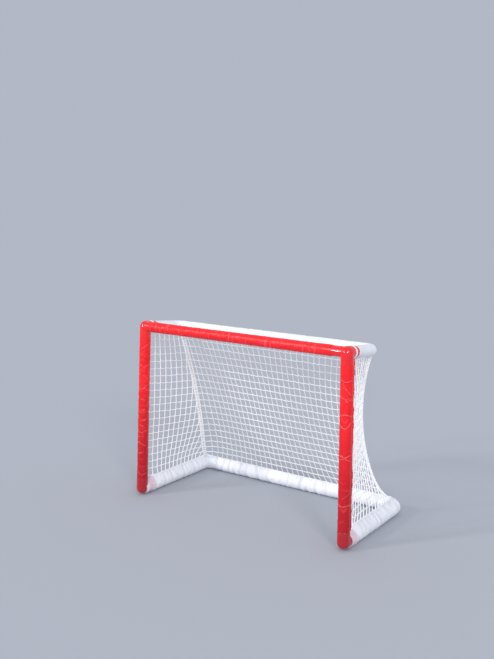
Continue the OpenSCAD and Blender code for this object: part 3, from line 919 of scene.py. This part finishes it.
def boot_cut(angle):
    """How far behind the post the white sleeve starts: its mouth slants forward on the inner side."""
    inner = smooth(1.5 * max(0.0, -math.cos(angle))) * smooth(1.6 * (1 - max(0.0, math.sin(angle))))
    return lerp(19 * MM, 3 * MM, inner)


def base_rails():
    leg = BASE_DEPTH - BEND_R
    bend = BEND_R * QUARTER
    run = Run(Vector((BASE_X, FRONT_Y, BASE_Z)), BACK, UP, rail_corners(BASE_X, leg))

    def piped_at(s):
        """Where the piped edge is: its angle and how far it stands out."""
        near = min(s, run.length - s)
        turn = QUARTER + lerp(SIDE_TURN, REAR_TURN, smooth((near - leg) / bend))
        return turn, RAIL_FLANGE * smooth((near - 14 * MM) / (22 * MM))

    def form(s, angle):
        near = min(s, run.length - s)
        radius = lerp(BOOT_R + 1.4 * MM, RAIL_R - 0.5 * MM, smooth((near - boot_cut(angle)) / (16 * MM)))
        turn, reach = piped_at(s)
        return drawn_in(radius, reach, wrapped(angle - turn))

    folds = folds_along(run.length, 41, 18 * MM, 1.4 * MM, 4.2 * MM, 3 * MM, 3 * MM)
    folds += folds_along(run.length, 42, 55 * MM, 0.9 * MM, 2.2 * MM, 14 * MM, 14 * MM)
    dice = random.Random(43)
    for s_bend in (leg + bend / 2, run.length - leg - bend / 2):
        for k in range(-2, 3):
            folds.append(Fold(s_bend + k * 9 * MM, math.pi, 1.3, 0, 0,
                              1.2 * MM * dice.uniform(0.6, 1), 3.0 * MM))
    sleeve("base_rail_cloth", run, form, folds, WHITE, "white_sleeve",
           ["base_left_sleeve", "base_right_sleeve", "base_rear_sleeve"],
           lambda s: RAIL_R - 2.6 * MM if BOOT_BACK_LEG < min(s, run.length - s) else BOOT_R,
           2.1 * MM, cut=boot_cut)

    def bore(s):
        in_socket = min(s, run.length - s) < FOOT_SOCKET + 2 * MM
        return SOCKET_R + 0.7 * MM if in_socket else TUBE_R + 0.1 * MM

    rail_foams("base", run, BOOT_BACK_LEG, leg - REAR_LEG, RAIL_R - 2.7 * MM, bore)

    edge, rows = [], [[], []]
    count = 420
    for k in range(count + 1):
        s = lerp(24 * MM, run.length - 24 * MM, k / count)
        point, side, up = run.at(s)
        turn, reach = piped_at(s)
        edge.append(point + (side * math.cos(turn) + up * math.sin(turn)) * (RAIL_R + reach - 1.0 * MM))
        root = math.acos(RAIL_R / (RAIL_R + max(reach, 1 * MM)))
        for row, face in zip(rows, (1, -1)):
            lean = turn + face * root
            slope = turn + face * (root - QUARTER)
            normal = side * math.cos(lean) + up * math.sin(lean)
            along = side * math.cos(slope) + up * math.sin(slope)
            length = math.sqrt((RAIL_R + reach) ** 2 - RAIL_R ** 2)
            row.append((point + normal * (RAIL_R - 0.4 * MM) + along * max(length - 6 * MM, 0),
                        normal * 0.5 * MM))
    strand_piece("base_piping", [edge], 2.4 * MM, 2, WHITE, "white_sleeve")
    stitches("base_stitches", rows, WHITE_THREAD, "white_sleeve")
    mouths = []
    for start in (0, run.length):
        ring = []
        for k in range(73):
            angle = k / 72 * 2 * math.pi
            s = boot_cut(angle) if start == 0 else run.length - boot_cut(angle)
            spot = run.skin(s, angle, form(s, angle) - 0.2 * MM)
            spot.z = max(spot.z, 1.5 * MM)
            ring.append(spot)
        mouths.append(ring)
    strand_piece("base_hems", mouths, 1.6 * MM, 2, WHITE, "white_sleeve")


def top_rails():
    start_y = COVER_BACK_LEG + TIE_W + RING_W + 0.5 * MM
    leg = TOP_DEPTH - BEND_R - start_y
    run = Run(in_top_frame(POST_X, start_y, 0), TOP_BACK, TOP_UP, rail_corners(POST_X, leg))
    folds = folds_along(run.length, 61, 20 * MM, 0.7 * MM, 2.6 * MM, 9 * MM, 9 * MM)
    bare = BACK_SOCKET - start_y
    sleeve("top_rail_cloth", run, lambda s, angle: TOP_RAIL_R - 0.4 * MM, folds, WHITE, "white_sleeve",
           ["top_left_sleeve", "top_right_sleeve", "top_rear_sleeve"],
           lambda s: SOCKET_R + 0.3 * MM if min(s, run.length - s) < bare else TOP_RAIL_R - 2.3 * MM,
           2.6 * MM)
    rail_foams("top", run, bare, leg - SPIGOT_LEG, TOP_RAIL_R - 2.4 * MM, lambda s: TUBE_R + 0.1 * MM)
    half = POST_X - BEND_R
    reach = 4 * MM
    depth = 1.5 * MM
    for side in (1, -1):
        points = [in_top_frame(side * POST_X, lerp(start_y, start_y + leg, k / 30), -TOP_RAIL_R)
                  for k in range(31)]
        flange(f"top_{word_for(side)}_seam", points, -TOP_UP, RIGHT, reach, WHITE, "white_sleeve",
               71 + side, depth=depth)
    under = [in_top_frame(lerp(-half, half, k / 220), TOP_DEPTH, -TOP_RAIL_R) for k in range(221)]
    flange("top_rear_seam", under, -TOP_UP, TOP_BACK, reach, WHITE, "white_sleeve", 75, depth=depth)
    front = [in_top_frame(lerp(-half, half, k / 220), TOP_DEPTH - TOP_RAIL_R, 0) for k in range(221)]
    flange("top_front_seam", front, -TOP_BACK, TOP_UP, reach, WHITE, "white_sleeve", 76, depth=depth)


# ---------------------------------------------------------------- corners and feet


def rod(start, end, radius, vertices=48):
    d = end - start
    bpy.ops.mesh.primitive_cylinder_add(vertices=vertices, radius=radius, depth=d.length,
                                        location=(start + end) / 2,
                                        rotation=d.to_track_quat("Z", "Y").to_euler())
    return bpy.context.object


def ball(centre_point, radius):
    bpy.ops.mesh.primitive_uv_sphere_add(segments=48, ring_count=24, radius=radius, location=centre_point)
    return bpy.context.object


def welded(name, shapes, node):
    """Blend the shapes into one vinyl skin: a voxel remesh, then smoothing that leaves soft inner corners."""
    obj = join(shapes)
    apply(obj, "REMESH", mode="VOXEL", voxel_size=SKIN_VOXEL, use_smooth_shade=True)
    apply(obj, "SMOOTH", factor=0.5, iterations=SKIN_ROUNDS)
    place(name, VINYL, "red_vinyl", node)


def corner(side):
    word = word_for(side)
    spot = Vector((side * POST_X, FRONT_Y, TOP_Z))
    inward = Vector((-side, 0, 0))
    shapes = [
        ball(spot, COVER_R),
        rod(spot, spot - post_up(side) * (COVER_POST_LEG + 1.5 * MM), COVER_R + 0.3 * MM),
        rod(spot, spot + inward * (COVER_R + 4 * MM), COVER_R - 2 * MM),
        rod(spot, spot + TOP_BACK * COVER_BACK_LEG, COVER_R)]
    welded(f"{word}_corner_skin", shapes, f"{word}_corner_cover")
    # The bare stretch of cover between the corner and the crossbar cloth
    end = BAR_RIGHT if side > 0 else BAR_LEFT
    neck = [spot + inward * (COVER_R - 3 * MM), Vector((end, FRONT_Y, TOP_Z)) + inward * (6 * MM)]
    strand_piece(f"{word}_corner_neck", [neck], BAR_R - 0.9 * MM, 12, VINYL, "red_vinyl")
    # Cord wound round the socket, then the red ring in front of the white sleeve
    turns = 4
    wound = []
    for k in range(turns * 32 + 1):
        a = k / 32 * 2 * math.pi
        y = COVER_BACK_LEG + lerp(1.0 * MM, TIE_W - 1.0 * MM, k / (turns * 32))
        wound.append(in_top_frame(side * POST_X + RING_R * math.cos(a), y, RING_R * math.sin(a)))
    strand_piece(f"{word}_corner_winding", [wound], WOUND_CORD_R, 2, CORD, "lacing_cord",
                 f"{word}_corner_tie")
    start = COVER_BACK_LEG + TIE_W
    hoop = rod(in_top_frame(side * POST_X, start, 0), in_top_frame(side * POST_X, start + RING_W, 0),
               RING_R, 64)
    apply(hoop, "BEVEL", width=1.2 * MM, segments=3, limit_method="ANGLE")
    place(f"{word}_corner_hoop", VINYL, "red_vinyl", f"{word}_corner_ring")
    smooth_shade(hoop, 40)


def foot(side):
    word = word_for(side)
    spot = foot_spot(side)
    up = post_up(side)
    top = spot + up * (BOOT_UP_LEG - 6 * MM)
    shapes = [
        ball(spot, BOOT_R),
        rod(spot, top, BOOT_R),
        rod(spot, spot + BACK * (BOOT_BACK_LEG + 2 * MM), BOOT_R)]
    # The boot thins out up the post, so that its edge hardly shows
    bpy.ops.mesh.primitive_cone_add(vertices=48, radius1=BOOT_R, radius2=POST_R + 0.7 * MM, depth=16 * MM,
                                    location=top + up * 8 * MM,
                                    rotation=up.to_track_quat("Z", "Y").to_euler())
    shapes.append(bpy.context.object)
    welded(f"{word}_foot_skin", shapes, f"{word}_foot_boot")


# ---------------------------------------------------------------- netting


class Netting:
    """Knotless netting: two families of twine that share their junctions and sag a little between them."""

    def __init__(self, seed):
        self.dice = random.Random(seed)
        self.strands = []

    def jitter(self, size):
        return Vector([self.dice.uniform(-size, size) for _ in range(3)])

    def weave(self, lines, jog):
        """Twines through a table of junctions. Jog steps each one aside where it crosses, as a braid does."""
        for line in lines:
            strand = []
            for k, p in enumerate(line):
                before = line[max(k - 1, 0)]
                after = line[min(k + 1, len(line) - 1)]
                along = (after - before).normalized()
                strand.append((p - along * JUNCTION_MM * MM - jog, 1.05))
                strand.append((p, 1.3))
                strand.append((p + along * JUNCTION_MM * MM + jog, 1.05))
                if k < len(line) - 1:
                    middle = p.lerp(after, 0.5) - UP * self.dice.uniform(0, 0.8) * MM
                    strand.append((middle, 0.9))
            self.strands.append(strand)

    def mesh(self, name, node):
        strand_piece(name, self.strands, TWINE_R, 1, TWINE, "netting", node)


def back_net():
    net = Netting(81)
    columns = round(2 * SEAM_HIGH[0] / MESH_W)
    rows = round((BACK_HIGH[1] - SIDE_LOW[1]) / MESH_H)
    table = [[back_point(i / columns, j / rows) + net.jitter(JITTER) for i in range(columns + 1)]
             for j in range(rows + 1)]
    net.weave(table, UP * JOG_MM * MM)
    net.weave([[row[i] for row in table] for i in range(1, columns)], RIGHT * JOG_MM * MM)
    net.mesh("back_netting", "back_net")


def side_edge(v):
    """Where a twine of the side net, at v up the front, reaches the laced corner."""
    point = seam(v)
    for _ in range(3):
        point = seam_at(side_z(point.y - FRONT_Y, v))
    return point


def side_net(side):
    net = Netting(91 + side)
    rows = round((BACK_HIGH[1] - SIDE_LOW[1]) / MESH_H)
    ends = [side_edge(j / rows) for j in range(rows + 1)]
    columns = int((ends[0].y - FRONT_Y - SIDE_FRONT) / MESH_W)
    level = [[side_point(SIDE_FRONT + i * MESH_W, j / rows) + net.jitter(JITTER)
              for i in range(columns + 1)] for j in range(rows + 1)]

    def inside(i, j):
        return FRONT_Y + SIDE_FRONT + i * MESH_W < ends[j].y - 4 * MM

    net.weave([[level[j][i] for i in range(columns + 1) if inside(i, j)] + [ends[j]]
               for j in range(rows + 1)], UP * JOG_MM * MM)
    uprights = []
    for i in range(columns + 1):
        y = FRONT_Y + SIDE_FRONT + i * MESH_W
        line = [level[j][i] for j in range(rows + 1) if inside(i, j)]
        if y > ends[rows].y:
            line.append(seam(next(k / 400 for k in range(401) if seam(k / 400).y <= y)))
        if len(line) > 1:
            uprights.append(line)
    net.weave(uprights, BACK * JOG_MM * MM)
    if side < 0:
        net.strands = [[(Vector((-p.x, p.y, p.z)), f) for p, f in strand] for strand in net.strands]
    word = word_for(side)
    net.mesh(f"{word}_netting", f"{word}_net")


def top_net():
    net = Netting(99)
    half = POST_X - TOP_RAIL_R - 2.5 * MM
    y0 = BAR_R + 2.5 * MM
    y1 = TOP_DEPTH - TOP_RAIL_R - 2.5 * MM
    columns = round(2 * half / MESH_W)
    rows = round((y1 - y0) / MESH_W)
    sag = -1.5 * MM
    table = [[in_top_frame(lerp(-half, half, i / columns), lerp(y0, y1, j / rows), sag * bulge(j / rows))
              + net.jitter(0.6 * MM) for i in range(columns + 1)] for j in range(rows + 1)]
    net.weave(table, BACK * JOG_MM * MM)
    net.weave([[row[i] for row in table] for i in range(columns + 1)], RIGHT * JOG_MM * MM)
    net.mesh("top_netting", "top_net")


def lacing(side):
    """Two border ropes down the corner, bound together by a cord that winds from mesh to mesh."""
    word = word_for(side)
    count = 120
    inwards = Vector((-0.97, 0.24, 0))
    forwards = Vector((0.36, -0.93, 0))
    across = (inwards - forwards).normalized()
    through = Vector((across.y, -across.x, 0))
    path = [seam(lerp(*LACE_ENDS, k / count)) for k in range(count + 1)]
    ropes = [[p + d * ROPE_OUT for p in path] for d in (inwards, forwards)]
    middle = (inwards + forwards) * (ROPE_OUT / 2)
    length = sum((b - a).length for a, b in zip(path, path[1:]))
    turns = length / (12 * MM)
    steps = int(turns * 12)
    cord = []
    for k in range(steps + 1):
        a = 2 * math.pi * turns * k / steps
        cord.append(seam(lerp(*LACE_ENDS, k / steps)) + middle + across * (6.6 * MM * math.cos(a))
                    + through * (3.2 * MM * math.sin(a)))
    if side < 0:
        ropes = [mirrored(s) for s in ropes]
        cord = mirrored(cord)
    strand_piece(f"{word}_border_ropes", ropes, 2.6 * MM, 2, CORD, "lacing_cord", f"{word}_lacing")
    strand_piece(f"{word}_lacing_cord", [cord], 1.35 * MM, 1, CORD, "lacing_cord")


# ---------------------------------------------------------------- carried-over parts

FINISHES = {
    "steel_tube": STEEL, "spring_steel": SPRING, "moulded_socket": SOCKET, "foam": FOAM,
    "red_vinyl": VINYL, "red_sleeve": RED, "white_sleeve": WHITE, "netting": TWINE, "lacing_cord": CORD}


def dress_nodes():
    """Give the parts that are kept from the frame their finish."""
    slots = {row["node"]: row["material_slot"] for row in frame["record"]["subparts"]}
    for name, obj in frame["nodes"].items():
        obj.data.materials.clear()
        obj.data.materials.append(FINISHES[slots[name]])


dress_nodes()
crossbar()
base_rails()
top_rails()
for side in (-1, 1):
    post(side)
    corner(side)
    foot(side)
    side_net(side)
    lacing(side)
back_net()
top_net()

# ---------------------------------------------------------------- floor and light

FLOOR_COLOUR = "#B1B6BE"
FLOOR_SIZE = 160
FLOOR_Z = -0.0005
ROOM_COLOUR = "#F5F7FF"
ROOM_LIGHT = 0.80
# The lamps, all far off: the direction to each, its strength and how wide it looks, in degrees
SUNS = {
    "key": (Vector((-0.60, -0.85, 0.50)).normalized(), 0.80, 8),
    "fill": (Vector((0.85, -0.72, 0.55)).normalized(), 0.85, 16),
    "low_left": (Vector((-0.44, -0.88, 0.20)).normalized(), 0.45, 4),
    "low_front": (Vector((0.42, -0.88, 0.24)).normalized(), 0.30, 4)}


def sun(name, towards, strength, angle):
    data = bpy.data.lights.new(name, "SUN")
    data.energy = strength
    data.angle = math.radians(angle)
    obj = bpy.data.objects.new(name, data)
    bpy.context.collection.objects.link(obj)
    obj.rotation_euler = (-towards).to_track_quat("-Z", "Y").to_euler()


def floor():
    mat, bsdf = material("pale_floor", FLOOR_COLOUR, 1.0, Specular_IOR_Level=0.0)
    bpy.ops.mesh.primitive_plane_add(size=FLOOR_SIZE, location=(0, 0, FLOOR_Z))
    obj = bpy.context.object
    obj.name = "floor"
    obj.data.materials.append(mat)


def sky():
    """Even light all round. The camera sees it in the floor's own lit colour, and so do mirrored and
    passed-on camera rays, so that no horizon shows."""
    world = bpy.data.worlds.new("soft_room")
    bpy.context.scene.world = world
    world.use_nodes = True
    nodes, links = world.node_tree.nodes, world.node_tree.links
    room = nodes["Background"]
    tint = linear(ROOM_COLOUR)
    room.inputs["Color"].default_value = tint
    room.inputs["Strength"].default_value = ROOM_LIGHT
    seen = nodes.new("ShaderNodeBackground")
    level = sum(towards.z * strength for towards, strength, _ in SUNS.values()) / math.pi
    lit = [pale * (ROOM_LIGHT * tint[k] + level) for k, pale in enumerate(linear(FLOOR_COLOUR)[:3])]
    seen.inputs["Color"].default_value = (*lit, 1)
    path = nodes.new("ShaderNodeLightPath")
    mix = nodes.new("ShaderNodeMixShader")
    sees_floor = path.outputs["Is Camera Ray"]
    for ray in ("Is Glossy Ray", "Is Transmission Ray"):
        either = nodes.new("ShaderNodeMath")
        either.operation = "MAXIMUM"
        links.new(sees_floor, either.inputs[0])
        links.new(path.outputs[ray], either.inputs[1])
        sees_floor = either.outputs[0]
    links.new(sees_floor, mix.inputs[0])
    links.new(room.outputs[0], mix.inputs[1])
    links.new(seen.outputs[0], mix.inputs[2])
    links.new(mix.outputs[0], nodes["World Output"].inputs["Surface"])


floor()
sky()
for name, (towards, strength, angle) in SUNS.items():
    sun(name, towards, strength, angle)
bpy.context.scene.view_settings.view_transform = "Standard"
